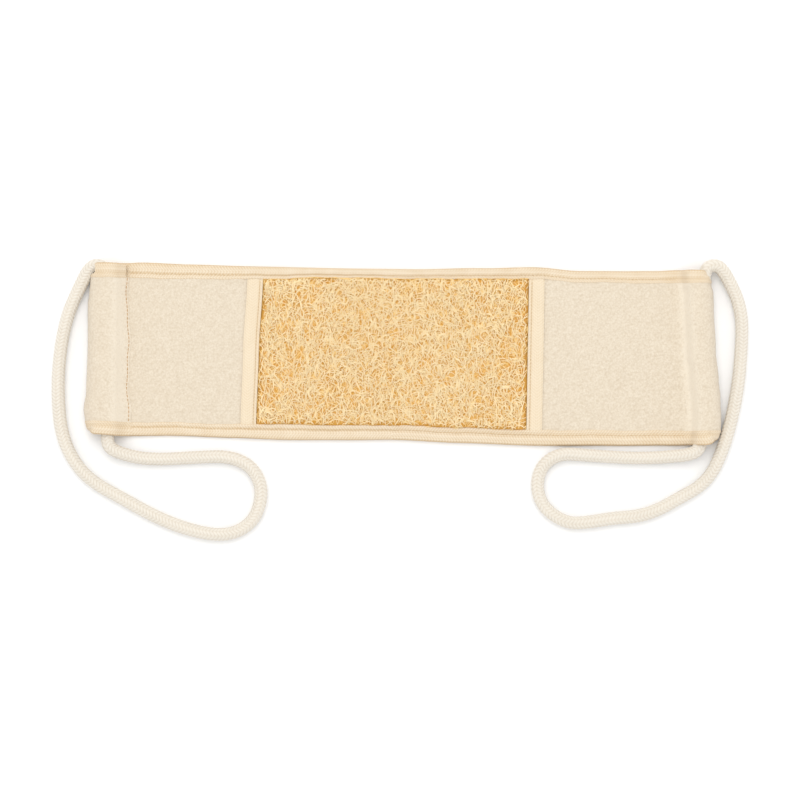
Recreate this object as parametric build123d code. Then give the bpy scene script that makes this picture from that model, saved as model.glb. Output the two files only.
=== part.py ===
from build123d import *
import os
from math import radians, tan

# Loofah back scrubber: a long terry strap with a loofah pad sewn on the middle of its front, both
# long edges bound with folded tape, and a braided cord loop at each end for the hands.
# X runs along the strap, Y across it and Z up through its thickness. The origin is under the middle
# of the strap. It lies on its back, loofah side up, and folds upwards beside each end of the loofah.
# All sizes are in millimetres.

# Strap
strap_length = 440.0
strap_width = 120.0
terry_thickness = 3.0        # base cloth and pile
tape_thickness = 0.6         # one leaf of the binding tape
binding_width = 10.0         # the tape once folded over the edge
fold_gap = 0.3               # between the cloth on the two sides of a fold

# Loofah pad
loofah_length = 188.2        # between the cross tapes
loofah_shift = -5.7          # the pad's middle from the strap's middle
loofah_thickness = 5.0
loofah_margin = 1.2          # where it is pressed flat under the tapes
cross_tape_width = 11.0

# Casings, the channels at the ends that the cords run in. The left one's flap is turned to the front,
# and the right one's to the back.
left_casing_ease = 6.9       # from the widest part of the cord to the cloth on each side
right_casing_ease = 2.15
casing_cloth = 2.4           # the cloth over the cord
left_cord_offset = 0.75      # the left cord lies this far inboard of its casing's middle
mouth_inset = 24.0           # how far the upper corners are left open round the cord

# Cord
cord_diameter = 9.0
whipping_thickness = 0.4     # thread wound over the join of the cord's two ends
whipping_length = 14.0
whipping_gap = 0.05
running_gap = 0.3            # between the cord and the cloth
floor_gap = 0.1              # under the parts of the cord that lie beside the strap

# Thread
stitch_inset = 6.5           # the rows on the bindings, from the strap's edge
cross_stitch_inset = 3.5     # the rows on the cross tapes, from the loofah
thread_width = 0.6
thread_height = 0.4
bar_tack_length = 6.0
bar_tack_width = 1.2

# Places that follow from the sizes above
half_length = strap_length / 2
half_width = strap_width / 2
field_edge = half_width - binding_width
margin_edge = half_width - tape_thickness
terry_margin = terry_thickness - 2 * tape_thickness
centre_edge_height = terry_thickness + loofah_margin
loofah_top = terry_thickness + loofah_thickness
loofah_left = loofah_shift - loofah_length / 2
loofah_right = loofah_shift + loofah_length / 2
fold_left = loofah_left - cross_tape_width - fold_gap / 2
fold_right = loofah_right + cross_tape_width + fold_gap / 2
wing_left = (-half_length, fold_left - fold_gap / 2)
wing_right = (fold_right + fold_gap / 2, half_length)
centre = (fold_left + fold_gap / 2, fold_right - fold_gap / 2)
cord_radius = cord_diameter / 2
whipping_radius = cord_radius + whipping_gap + whipping_thickness
left_half_span = whipping_radius + left_casing_ease + casing_cloth
right_half_span = whipping_radius + right_casing_ease + casing_cloth
left_casing_x = -half_length + left_half_span
right_casing_x = half_length - right_half_span
left_seam_x = -half_length + 2 * left_half_span
right_seam_x = half_length - 2 * right_half_span
cord_height = terry_thickness + running_gap + whipping_radius
casing_height = 2 * (running_gap + whipping_radius)
left_cord_x = left_casing_x + left_cord_offset
right_cord_x = right_casing_x
lying = cord_radius + floor_gap
exit_low = -half_width - running_gap

# Each loop's route, from where it leaves the upper edge round to the lower edge
left_route = [
    (left_cord_x, 44.0, cord_height),
    (left_cord_x, 51.0, cord_height),
    (-209.7, 56.6, 8.0),
    (-216.9, 57.9, 7.2),
    (-223.2, 54.2, 6.2),
    (-229.0, 40.0, 4.9),
    (-236.5, 15.0, lying),
    (-241.0, -18.0, lying),
    (-240.0, -50.0, lying),
    (-232.0, -76.0, lying),
    (-213.0, -95.5, lying),
    (-185.0, -110.5, lying),
    (-156.0, -123.5, lying),
    (-127.0, -129.8, lying),
    (-107.0, -126.0, lying),
    (-96.0, -110.0, lying),
    (-97.5, -91.5, lying),
    (-110.0, -76.5, lying),
    (-130.0, -73.2, lying),
    (-160.0, -76.8, lying),
    (-184.0, -78.2, 4.9),
    (-197.5, -76.0, 6.6),
    (left_cord_x, -69.0, cord_height),
    (left_cord_x, exit_low, cord_height),
]
right_route = [
    (right_cord_x, 48.0, cord_height),
    (right_cord_x, 55.0, cord_height),
    (215.2, 60.6, 8.0),
    (222.4, 61.9, 7.2),
    (228.5, 58.0, 6.2),
    (234.8, 45.4, 4.9),
    (239.0, 22.0, lying),
    (238.0, -8.0, lying),
    (235.5, -42.0, lying),
    (226.0, -73.5, lying),
    (207.0, -93.5, lying),
    (178.0, -107.8, lying),
    (149.0, -112.3, lying),
    (120.5, -117.8, lying),
    (103.5, -109.0, lying),
    (95.0, -92.5, lying),
    (97.0, -77.0, lying),
    (111.0, -67.6, lying),
    (133.0, -68.5, lying),
    (160.0, -70.8, lying),
    (186.5, -76.0, 4.9),
    (202.0, -76.5, 6.6),
    (right_cord_x, -69.5, cord_height),
    (right_cord_x, exit_low, cord_height),
]


def block(x_range, y_range, z_range):
    """A box between the given limits."""
    ranges = (x_range, y_range, z_range)
    middle = [(low + high) / 2 for low, high in ranges]
    sides = [high - low for low, high in ranges]
    return Pos(*middle) * Box(*sides)


def across(side, inner, outer):
    """The Y range from inner to outer on the upper (1) or the lower (-1) side."""
    return tuple(sorted((side * inner, side * outer)))


def terry(x_range):
    """A length of the terry strip, with its long edges pressed thin for the bindings."""
    field = block(x_range, (-field_edge, field_edge), (0, terry_thickness))
    pressed = (tape_thickness, tape_thickness + terry_margin)
    return field + block(x_range, (-margin_edge, margin_edge), pressed)


def binding(side, x_range, height):
    """Tape folded round a long edge of the given height."""
    folded = block(x_range, across(side, field_edge, half_width), (0, height))
    slot = (tape_thickness, height - tape_thickness)
    return folded - block(x_range, across(side, field_edge, margin_edge), slot)


def loofah():
    """The pad, thick between the tapes and pressed thin under them."""
    pad = block((loofah_left, loofah_right), (-field_edge, field_edge), (terry_thickness, loofah_top))
    pressed_side = (terry_thickness - tape_thickness, centre_edge_height - tape_thickness)
    sides = block(centre, (-margin_edge, margin_edge), pressed_side)
    ends = block(centre, (-field_edge, field_edge), (terry_thickness, centre_edge_height))
    below = block(centre, (-field_edge, field_edge), (0, terry_thickness))
    return pad + ends + (sides - below)


def arch(x_middle, half_span, inset, y_range):
    """Cloth carried over the cord in a half oval, thinned by inset on both faces."""
    outer = Ellipse(half_span - inset, casing_height + casing_cloth - inset)
    inner = Ellipse(half_span - casing_cloth + inset, casing_height + inset)
    upper = Rectangle(2 * half_span, 2 * casing_height, align=(Align.CENTER, Align.MIN))
    face = Pos(x_middle, terry_thickness) * ((outer - inner) & upper)
    low, high = y_range
    return extrude(Plane((0, high, 0), x_dir=(1, 0, 0), z_dir=(0, -1, 0)) * face, high - low)


def casing_top(x_middle, half_span):
    """The terry over the cord, pressed thin along its two bound edges."""
    thin = arch(x_middle, half_span, tape_thickness, (-margin_edge, margin_edge))
    return arch(x_middle, half_span, 0, (-field_edge, field_edge)) + thin


def casing_binding(side, x_middle, half_span):
    """Tape folded round one edge of the terry that goes over the cord."""
    band = arch(x_middle, half_span, 0, across(side, field_edge, half_width))
    return band - arch(x_middle, half_span, tape_thickness, across(side, field_edge, margin_edge))


def mouth(cord_x, outward):
    """The open corner at the upper end of a casing, where the cord turns out and down."""
    clear = running_gap + whipping_radius
    beyond = 1.0
    end = outward * (half_length + beyond)
    y_range = (half_width - mouth_inset, half_width + beyond)
    beside = block(tuple(sorted((cord_x, end))), y_range, (-beyond, cord_height + clear))
    under = block(tuple(sorted((cord_x - outward * clear, end))), y_range, (-beyond, terry_thickness))
    return beside + under


def thread(x_range, y_range, height):
    """A row of thread lying on cloth at the given height."""
    return block(x_range, y_range, (height, height + thread_height))


def row_along(side, x_range, height):
    """A row of thread along a binding."""
    inner = half_width - stitch_inset - thread_width / 2
    return thread(x_range, across(side, inner, inner + thread_width), height)


def row_across(x_middle, height):
    """A row of thread across the strap between the bindings."""
    reach = (x_middle - thread_width / 2, x_middle + thread_width / 2)
    return thread(reach, (-field_edge, field_edge), height)


def bar_tacks(seam_x):
    """Close stitches that close the two corners of the turned flap."""
    x_range = (seam_x, seam_x + bar_tack_width)
    end = half_width - bar_tack_width
    return [thread(x_range, across(side, end - bar_tack_length, end), terry_thickness) for side in (1, -1)]


def corner_radii(route):
    """For each corner, 0.45 of its shorter run divided by the tangent of half its turn."""
    corners = [Vector(*point) for point in route]
    radii = []
    for before, here, after in zip(corners, corners[1:], corners[2:]):
        shorter = min((here - before).length, (after - here).length)
        turn = (here - before).get_angle(after - here)
        radii.append(0.45 * shorter / tan(radians(turn / 2)))
    return radii


def cord_loop(name, route):
    """The free length of a hand loop, lying beside the strap."""
    radii = corner_radii(route)
    path = FilletPolyline(*route, radius=radii)
    section = Plane(path @ 0, z_dir=path % 0) * Circle(cord_radius)
    tube = sweep(section, path)
    expected = section.area * path.length
    print(name, "length", round(path.length, 1), "volume", round(tube.volume), "of", round(expected))
    print(name, "radii", [round(radius, 1) for radius in radii])
    return tube


def round_bar(x, radius, y_range):
    """A round bar along Y at the height of the cord in its casing."""
    low, high = y_range
    return Pos(x, (low + high) / 2, cord_height) * Rot(90, 0, 0) * Cylinder(radius, high - low)


def cord_inside(x, y_range):
    """One end of the cord, inside its casing."""
    return round_bar(x, cord_radius, y_range)


def whipping(x):
    """The thread sleeve that joins the cord's two ends inside the casing."""
    y_range = (-whipping_length / 2, whipping_length / 2)
    return round_bar(x, whipping_radius, y_range) - round_bar(x, cord_radius + whipping_gap, y_range)


left_mouth = mouth(left_cord_x, -1)
right_mouth = mouth(right_cord_x, 1)
left_flat = (left_seam_x + thread_width + bar_tack_width, wing_left[1])
right_flat = (wing_right[0], right_seam_x - thread_width)

parts = {
    "loofah_pad": loofah(),
    "centre_terry_backing": terry(centre),
    "upper_centre_binding": binding(1, centre, centre_edge_height),
    "lower_centre_binding": binding(-1, centre, centre_edge_height),
    "upper_centre_stitching": row_along(1, centre, centre_edge_height),
    "lower_centre_stitching": row_along(-1, centre, centre_edge_height),
    "left_terry_panel": terry(wing_left) - left_mouth,
    "left_casing_flap": casing_top(left_casing_x, left_half_span) - left_mouth,
    "left_upper_binding": binding(1, wing_left, terry_thickness) - left_mouth,
    "left_lower_binding": binding(-1, wing_left, terry_thickness),
    "left_upper_flap_binding": casing_binding(1, left_casing_x, left_half_span) - left_mouth,
    "left_lower_flap_binding": casing_binding(-1, left_casing_x, left_half_span),
    "left_upper_stitching": row_along(1, left_flat, terry_thickness),
    "left_lower_stitching": row_along(-1, left_flat, terry_thickness),
    "left_casing_seam": row_across(left_seam_x + thread_width / 2, terry_thickness),
    "left_bar_tacks": Compound(children=bar_tacks(left_seam_x + thread_width)),
    "right_terry_panel": terry((wing_right[0], right_seam_x)),
    "right_casing_roll": casing_top(right_casing_x, right_half_span) - right_mouth,
    "right_casing_flap": terry((right_seam_x, half_length)) - right_mouth,
    "right_upper_binding": binding(1, wing_right, terry_thickness) - right_mouth,
    "right_lower_binding": binding(-1, wing_right, terry_thickness),
    "right_upper_roll_binding": casing_binding(1, right_casing_x, right_half_span) - right_mouth,
    "right_lower_roll_binding": casing_binding(-1, right_casing_x, right_half_span),
    "right_upper_stitching": row_along(1, right_flat, terry_thickness),
    "right_lower_stitching": row_along(-1, right_flat, terry_thickness),
    "right_casing_seam": row_across(right_seam_x - thread_width / 2, terry_thickness),
    "left_handle_cord": cord_loop("left", left_route),
    "right_handle_cord": cord_loop("right", right_route),
}

for end, inner_x, outward in (("left", loofah_left, -1), ("right", loofah_right, 1)):
    x_range = tuple(sorted((inner_x, inner_x + outward * cross_tape_width)))
    z_range = (centre_edge_height, centre_edge_height + tape_thickness)
    row_x = inner_x + outward * cross_stitch_inset
    parts[f"{end}_cross_tape"] = block(x_range, (-field_edge, field_edge), z_range)
    parts[f"{end}_cross_stitching"] = row_across(row_x, z_range[1])

for end, cord_x, route in (("left", left_cord_x, left_route), ("right", right_cord_x, right_route)):
    parts[f"{end}_cord_upper_end"] = cord_inside(cord_x, (0, route[0][1]))
    parts[f"{end}_cord_lower_end"] = cord_inside(cord_x, (exit_low, 0))
    parts[f"{end}_cord_whipping"] = whipping(cord_x)

os.makedirs("parts", exist_ok=True)
for name, shape in parts.items():
    export_step(shape, f"parts/{name}.step")
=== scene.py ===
"""The finished look of a loofah back scrubber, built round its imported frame.

A long terry strap lies on its back with a loofah pad sewn on its front. Both long edges are bound with
folded tape, and a braided cord runs through a casing at each end and makes a hand loop.
X runs along the strap, Y across it and Z up through its thickness. Lengths are in metres, and MM turns
millimetres into them.
"""

import logging
import math
from dataclasses import dataclass, field
from enum import Enum
from typing import Callable, Sequence

import bmesh
import bpy
import numpy as np
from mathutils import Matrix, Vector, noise


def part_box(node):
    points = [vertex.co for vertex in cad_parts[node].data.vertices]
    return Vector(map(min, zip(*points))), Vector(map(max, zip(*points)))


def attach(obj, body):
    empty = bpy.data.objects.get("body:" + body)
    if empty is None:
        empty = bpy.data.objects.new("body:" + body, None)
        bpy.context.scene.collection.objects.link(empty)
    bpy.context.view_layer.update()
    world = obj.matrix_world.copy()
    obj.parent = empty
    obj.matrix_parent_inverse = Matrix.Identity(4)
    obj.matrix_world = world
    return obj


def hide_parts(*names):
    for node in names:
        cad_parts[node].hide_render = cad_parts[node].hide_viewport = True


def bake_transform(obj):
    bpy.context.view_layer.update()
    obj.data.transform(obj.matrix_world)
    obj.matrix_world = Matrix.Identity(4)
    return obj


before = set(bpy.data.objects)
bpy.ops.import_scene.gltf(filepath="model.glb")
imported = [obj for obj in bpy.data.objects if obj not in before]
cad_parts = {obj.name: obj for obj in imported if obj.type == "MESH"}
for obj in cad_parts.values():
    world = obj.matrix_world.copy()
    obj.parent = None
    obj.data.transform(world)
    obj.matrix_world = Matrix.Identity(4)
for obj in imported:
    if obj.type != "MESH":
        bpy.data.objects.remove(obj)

MM = 0.001
CM = 0.01
LOG = logging.getLogger("scrubber")
Colour = tuple[float, float, float, float]
Point = tuple[float, float, float]
Knots = Sequence[tuple[float, float]]
Place = Callable[[np.ndarray, np.ndarray], np.ndarray]
Material = bpy.types.Material
Mesh = bpy.types.Mesh
Piece = bpy.types.Object

# The share of the light that the palest thing here sends back
WHITEST = 0.86

# Faces that meet at more than this angle keep a sharp edge between them
SHARP_ANGLE = math.radians(62.0)

# Points of a tube's seam that are nearer than this are the same point
MERGED_WITHIN = 1e-6


class End(Enum):
    """An end of the strap, as the direction from its middle."""

    LEFT = -1
    RIGHT = 1

    @property
    def word(self) -> str:
        """The end's name, as the frame's names have it."""
        return self.name.lower()

    @property
    def wing(self) -> str:
        """The body that the strap's cloth at this end belongs to."""
        return f"{self.word}_wing"

    @property
    def handle(self) -> str:
        """The body that the hand loop at this end belongs to."""
        return f"{self.word}_handle"


class Edge(Enum):
    """A long edge of the strap, as the direction from its middle line."""

    UPPER = 1
    LOWER = -1

    @property
    def word(self) -> str:
        """The edge's name, as the frame's names have it."""
        return self.name.lower()


# Measures that the frame gives


def low(node: str, axis: int) -> float:
    """The lowest coordinate of a node along an axis."""
    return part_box(node)[0][axis]


def high(node: str, axis: int) -> float:
    """The highest coordinate of a node along an axis."""
    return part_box(node)[1][axis]


HALF_LENGTH = high("right_casing_roll", 0)
HALF_WIDTH = high("upper_centre_binding", 1)
FIELD_EDGE = low("upper_centre_binding", 1)
LOOFAH_LEFT = high("left_cross_tape", 0)
LOOFAH_RIGHT = low("right_cross_tape", 0)
MIDDLE_X = (LOOFAH_LEFT + LOOFAH_RIGHT) / 2
FRONT = high("right_terry_panel", 2)
CENTRE_FRONT = high("upper_centre_binding", 2)
SEAM_X = {End.LEFT: high("left_casing_flap", 0), End.RIGHT: low("right_casing_roll", 0)}
FOLD = {
    End.LEFT: (high("left_terry_panel", 0) + low("centre_terry_backing", 0)) / 2,
    End.RIGHT: (low("right_terry_panel", 0) + high("centre_terry_backing", 0)) / 2,
}


# Where each casing rises from the strap, as a distance from the middle, and how wide the band of painted
# light is that paints out the shade there
VALLEY_X = {End.LEFT: 197.5 * MM, End.RIGHT: 201.0 * MM}
VALLEY_LIGHT_WIDTH = 4.5 * MM

# How far left of each casing's seam its stitches lie, and how far they stand above the flat cloth
SEAM_INSET = {End.LEFT: 0.4 * MM, End.RIGHT: 0.6 * MM}
SEAM_RISE = {End.LEFT: 1.0 * MM, End.RIGHT: 0.15 * MM}


# Shader nodes


class Value:
    """A socket that Python's operators work on: each adds a Math node."""

    def __init__(self, shader: "Shader", socket: bpy.types.NodeSocket | None) -> None:
        """Keeps the socket and the shader that it belongs to."""
        self.shader = shader
        self.socket = socket

    def maths(self, operation: str, *others: "Value | float") -> "Value":
        """This value and others through one Math node."""
        sockets = dict(enumerate((self, *others)))
        return self.shader.node("Math", {"operation": operation}, sockets)

    def __add__(self, other: "Value | float") -> "Value":
        """The sum."""
        return self.maths("ADD", other)

    def __mul__(self, other: "Value | float") -> "Value":
        """The product."""
        return self.maths("MULTIPLY", other)

    def __sub__(self, other: "Value | float") -> "Value":
        """The difference."""
        return self.maths("SUBTRACT", other)

    def __rsub__(self, other: float) -> "Value":
        """The difference from a number."""
        return (self * -1.0) + other

    __radd__ = __add__
    __rmul__ = __mul__

    def wave(self, pitch: float) -> "Value":
        """A sine of this value from 0 to 1 that repeats every pitch."""
        return (self * (2 * math.pi / pitch)).maths("SINE") * 0.5 + 0.5


class Shader:
    """The nodes of one material."""

    def __init__(self, name: str) -> None:
        """Starts an empty material.

        Args:
            name: Its name.
        """
        self.material = bpy.data.materials.new(name)
        self.material.use_nodes = True
        self.tree = self.material.node_tree
        self.tree.nodes.clear()

    def node(
        self,
        kind: str,
        settings: dict | None = None,
        sockets: dict | None = None,
        output: int | str = 0,
    ) -> Value:
        """Adds one node.

        Args:
            kind: The node's type, without its first word.
            settings: The node's own settings, set first.
            sockets: The values or links of its inputs, by name or number.
            output: The output that the result stands for.

        Returns:
            The chosen output, or an empty value if the node has none.
        """
        made = self.tree.nodes.new("ShaderNode" + kind)
        for setting, value in (settings or {}).items():
            setattr(made, setting, value)
        for socket, value in (sockets or {}).items():
            if isinstance(value, Value):
                self.tree.links.new(value.socket, made.inputs[socket])
            else:
                made.inputs[socket].default_value = value
        return Value(self, made.outputs[output] if made.outputs else None)

    def place(self) -> Value:
        """The object's own coordinates."""
        return self.node("TexCoord", output="Object")

    def axis(self, vector: Value, name: str) -> Value:
        """One coordinate of a vector."""
        return self.node("SeparateXYZ", sockets={0: vector}, output=name)

    def attribute(self, name: str) -> Value:
        """A number that the mesh carries at each point."""
        return self.node("Attribute", {"attribute_name": name}, output="Fac")

    def grain(self, size: float, detail: float = 2.0, vector: Value | None = None) -> Value:
        """Noise with lumps of about that size, in metres, from 0 to 1."""
        sockets = {"Vector": vector or self.place(), "Scale": 1 / size, "Detail": detail}
        return self.node("TexNoise", sockets=sockets)

    def cells(self, size: float) -> Value:
        """Distance to the nearest of points scattered about that size apart."""
        return self.node("TexVoronoi", sockets={"Vector": self.place(), "Scale": 1 / size})

    def spread(self, value: Value, start: float, end: float) -> Value:
        """A value from start to end as 0 to 1, smoothly and no further."""
        settings = {"interpolation_type": "SMOOTHSTEP"}
        return self.node("MapRange", settings, {0: value, 1: start, 2: end})

    def mix(self, share: Value | float, first: Value | Colour, second: Value | Colour) -> Value:
        """Two colours mixed, the second by that share."""
        return self.node("Mix", {"data_type": "RGBA"}, {0: share, 6: first, 7: second}, 2)

    def bump(self, height: Value, depth: float, strength: float = 1.0) -> Value:
        """A normal from a height of 0 to 1 that stands for that depth, in metres."""
        sockets = {"Height": height, "Distance": depth, "Strength": strength}
        return self.node("Bump", sockets=sockets)

    def dress(self, sockets: dict) -> Material:
        """Ends the material in one surface.

        Args:
            sockets: The surface's values or links, by name.

        Returns:
            The finished material.
        """
        surface = self.node("BsdfPrincipled", sockets=sockets)
        self.node("OutputMaterial", sockets={"Surface": surface})
        return self.material


def tint(red: int, green: int, blue: int) -> Colour:
    """A colour as seen, turned into the light that a surface sends back.

    Args:
        red: How red it looks, from 0 to 255.
        green: How green.
        blue: How blue.

    Returns:
        The colour in linear light, with its alpha.
    """
    shares = [channel / 255 for channel in (red, green, blue)]
    linear = [s / 12.92 if s <= 0.04045 else ((s + 0.055) / 1.055) ** 2.4 for s in shares]
    return (*[WHITEST * channel for channel in linear], 1.0)


# Finishes


@dataclass(frozen=True)
class TerryFinish:
    """Looped cotton cloth, cream, with a soft mottled pile, painted darker where its loops and pile lie
    low as painted shade and lighter in the casings' valleys as painted light.
    """

    light: Colour = tint(243, 231, 211)
    shade: Colour = tint(220, 204, 180)
    loop_size: float = 1.4 * MM
    loop_height: float = 0.5 * MM
    mottle_size: float = 6.0 * MM
    fuzz_size: float = 0.9 * MM

    def material(self) -> Material:
        """Builds the material.

        Returns:
            The material, ready for a piece.
        """
        shader = Shader("cream_terry")
        loops = 1 - shader.cells(self.loop_size)
        mottle = shader.grain(self.mottle_size, 3.0)
        fine = shader.grain(self.fuzz_size)
        relief = shader.attribute("relief")
        # Painted shade in the hollows between loops and where the pile lies low, painted light in the
        # casings' valleys through the relief, and random mottling
        lightness = shader.spread(relief * 0.4 + loops * 0.35 + mottle * 0.2 + fine * 0.35, 0.3, 1.05)
        height = loops * 0.7 + fine * 0.5
        return shader.dress(
            {
                "Base Color": shader.mix(lightness, self.shade, self.light),
                "Roughness": 0.95,
                "Specular IOR Level": 0.15,
                "Sheen Weight": 0.25,
                "Sheen Roughness": 0.6,
                "Normal": shader.bump(height, self.loop_height, 0.55),
            }
        )


@dataclass(frozen=True)
class TapeFinish:
    """Herringbone cotton tape; its weave follows the piece's own map, in centimetres."""

    name: str = "edge_tape"
    light: Colour = tint(246, 231, 207)
    shade: Colour = tint(219, 190, 148)
    twill_pitch: float = 0.2
    rib_pitch: float = 0.13
    band_width: float = 0.42
    thread_height: float = 0.22 * MM
    wander_size: float = 6.0 * MM
    mottle_size: float = 9.0 * MM
    fuzz_size: float = 0.5 * MM

    def material(self) -> Material:
        """Builds the material.

        Returns:
            The material, ready for a piece.
        """
        shader = Shader(self.name)
        places = shader.node("UVMap")
        along, across = shader.axis(places, "X"), shader.axis(places, "Y")
        wander = shader.grain(self.wander_size) * 0.02
        zigzag = across.maths("PINGPONG", self.band_width)
        twill = (along + zigzag * 0.8 + wander).wave(self.twill_pitch)
        ribs = (across + wander).wave(self.rib_pitch)
        weave = twill * 0.65 + ribs * 0.35
        mottle = shader.grain(self.mottle_size, 3.0)
        # Painted shade: the stitched groove, read from the relief, and partly the weave's hollows are
        # coloured darker, with random mottling
        groove = shader.attribute("relief")
        lightness = shader.spread(weave * 0.45 + mottle * 0.3 + groove * 0.4, 0.15, 1.05)
        height = weave + shader.grain(self.fuzz_size) * 0.4
        return shader.dress(
            {
                "Base Color": shader.mix(lightness, self.shade, self.light),
                "Roughness": 0.85,
                "Specular IOR Level": 0.2,
                "Sheen Weight": 0.15,
                "Normal": shader.bump(height, self.thread_height, 0.8),
            }
        )


@dataclass(frozen=True)
class LoofahFinish:
    """Dried loofah fibre, golden, with painted shade: darker in lower layers of the mat and where it sinks
    low near the mat's edges under the tapes.
    """

    # Painted light on the top layer, the middle colour, and painted shade deep in the mat
    lit_top: Colour = (0.98, 0.81, 0.51, 1.0)
    body: Colour = (0.95, 0.68, 0.28, 1.0)
    deep_shade: Colour = (0.68, 0.36, 0.07, 1.0)
    variety: float = 0.5
    # Fibres below the first height are painted in full shade, and above the second in none
    shade_below: float = 4.4 * MM
    lit_above: float = 6.8 * MM
    band_size: float = 16.0 * MM
    spot_size: float = 1.8 * MM
    grain_size: float = 0.4 * MM
    grain_depth: float = 0.1 * MM

    def material(self, height: float) -> Material:
        """Builds the material of one depth of fibre.

        Args:
            height: How high in the mat it lies, from 0 to 1; lower layers get more painted shade.

        Returns:
            The material.
        """
        shader = Shader(f"loofah_fibre_{round(100 * height)}")
        bands = shader.grain(self.band_size, 3.0)
        fine = shader.grain(self.spot_size)
        # Painted shade where the fibres sink low near the mat's edges and in lower layers, mixed with
        # random tone
        sunk_shade = 1 - shader.spread(shader.axis(shader.place(), "Z"), self.shade_below, self.lit_above)
        tone_and_shade = (fine + bands * 0.7 - 0.85) * self.variety + height - sunk_shade * 0.8
        lower = shader.mix(shader.spread(tone_and_shade, -0.1, 0.5), self.deep_shade, self.body)
        return shader.dress(
            {
                "Base Color": shader.mix(shader.spread(tone_and_shade, 0.45, 1.0), lower, self.lit_top),
                "Roughness": 0.7,
                "Specular IOR Level": 0.25,
                "Normal": shader.bump(shader.grain(self.grain_size), self.grain_depth, 0.6),
            }
        )


@dataclass(frozen=True)
class CordFinish:
    """Soft braided cotton; the mesh carries the height of its strands, which is also painted as shade
    between them.
    """

    light: Colour = tint(244, 237, 224)
    shade: Colour = tint(224, 211, 192)
    yarn_size: float = 0.45 * MM
    yarn_depth: float = 0.25 * MM

    def material(self) -> Material:
        """Builds the material.

        Returns:
            The material, ready for a piece.
        """
        shader = Shader("braided_cotton")
        yarn = shader.grain(self.yarn_size, 3.0)
        # Painted shade between the strands, from their height, with random yarn tone
        lightness = shader.spread(shader.attribute("relief") * 0.6 + yarn * 0.5, 0.1, 0.9)
        return shader.dress(
            {
                "Base Color": shader.mix(lightness, self.shade, self.light),
                "Roughness": 0.95,
                "Specular IOR Level": 0.15,
                "Sheen Weight": 0.3,
                "Sheen Roughness": 0.6,
                "Normal": shader.bump(yarn, self.yarn_depth, 0.7),
            }
        )


@dataclass(frozen=True)
class ThreadFinish:
    """Twisted cotton sewing thread."""

    name: str = "cream_thread"
    light: Colour = tint(240, 218, 180)
    shade: Colour = tint(212, 178, 130)
    twist_size: float = 0.35 * MM
    twist_depth: float = 0.08 * MM

    def material(self) -> Material:
        """Builds the material.

        Returns:
            The material, ready for a piece.
        """
        shader = Shader(self.name)
        twist = shader.grain(self.twist_size)
        return shader.dress(
            {
                "Base Color": shader.mix(shader.spread(twist, 0.3, 0.7), self.shade, self.light),
                "Roughness": 0.8,
                "Normal": shader.bump(twist, self.twist_depth, 0.8),
            }
        )


@dataclass(frozen=True)
class FloorFinish:
    """A plain pale floor."""

    colour: Colour = (0.93, 0.93, 0.93, 1.0)

    def material(self) -> Material:
        """Builds the material.

        Returns:
            The material, ready for a piece.
        """
        shader = Shader("pale_floor")
        return shader.dress({"Base Color": self.colour, "Roughness": 0.9})


# Shapes


def between(value: np.ndarray | float, knots: Knots) -> np.ndarray:
    """A smooth value between knots.

    Args:
        value: Where to read it.
        knots: Pairs of a place, in rising order, and the value there.

    Returns:
        The value at each place, level past the first and last knot.
    """
    places = np.array([place for place, _ in knots], float)
    values = np.array([found for _, found in knots], float)
    after = np.clip(np.searchsorted(places, value), 1, len(places) - 1)
    share = np.clip((value - places[after - 1]) / (places[after] - places[after - 1]), 0, 1)
    share = share * share * (3 - 2 * share)
    return values[after - 1] * (1 - share) + values[after] * share


def lumps(points: np.ndarray, size: float, shift: float = 0.0) -> np.ndarray:
    """Smooth noise of about -1 to 1 at each point, with lumps of that size."""
    scaled = points / size + shift
    return np.array([noise.noise(point) for point in scaled])


def nurbs(name: str, points: Sequence[Point], steps: int) -> Piece:
    """A curve object of one open NURBS spline, which isn't in the scene.

    Args:
        name: The curve's name.
        points: The points that control it.
        steps: How many straight lengths each stretch of it is made of.

    Returns:
        The curve object.
    """
    data = bpy.data.curves.new(name, "CURVE")
    data.dimensions = "3D"
    data.resolution_u = steps
    spline = data.splines.new("NURBS")
    spline.points.add(len(points) - 1)
    for control, place in zip(spline.points, points):
        control.co = (*place, 1.0)
    spline.order_u = 3
    spline.use_endpoint_u = True
    return bpy.data.objects.new(name, data)


def line_of(curve: Piece) -> np.ndarray:
    """The points along a curve.

    Args:
        curve: The curve object, which isn't kept.

    Returns:
        Its points in order.
    """
    mesh = bpy.data.meshes.new_from_object(curve)
    points = np.array([vertex.co for vertex in mesh.vertices], float)
    bpy.data.meshes.remove(mesh)
    bpy.data.curves.remove(curve.data)
    return points


def evenly(line: np.ndarray, number: int) -> np.ndarray:
    """A line again, with its points at even steps.

    Args:
        line: The line's points.
        number: How many points it gets.

    Returns:
        The new points.
    """
    steps = np.linalg.norm(np.diff(line, axis=0), axis=1)
    along = np.concatenate([[0], np.cumsum(steps)])
    at = np.linspace(0, along[-1], number)
    return np.stack([np.interp(at, along, line[:, axis]) for axis in range(3)], axis=1)


def length_of(line: np.ndarray) -> float:
    """The length of a line of points."""
    return float(np.linalg.norm(np.diff(line, axis=0), axis=1).sum())


def ahead_of(line: np.ndarray) -> np.ndarray:
    """The direction of a line at each of its points."""
    ahead = np.gradient(line, axis=0)
    return ahead / np.linalg.norm(ahead, axis=1)[:, None]


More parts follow.
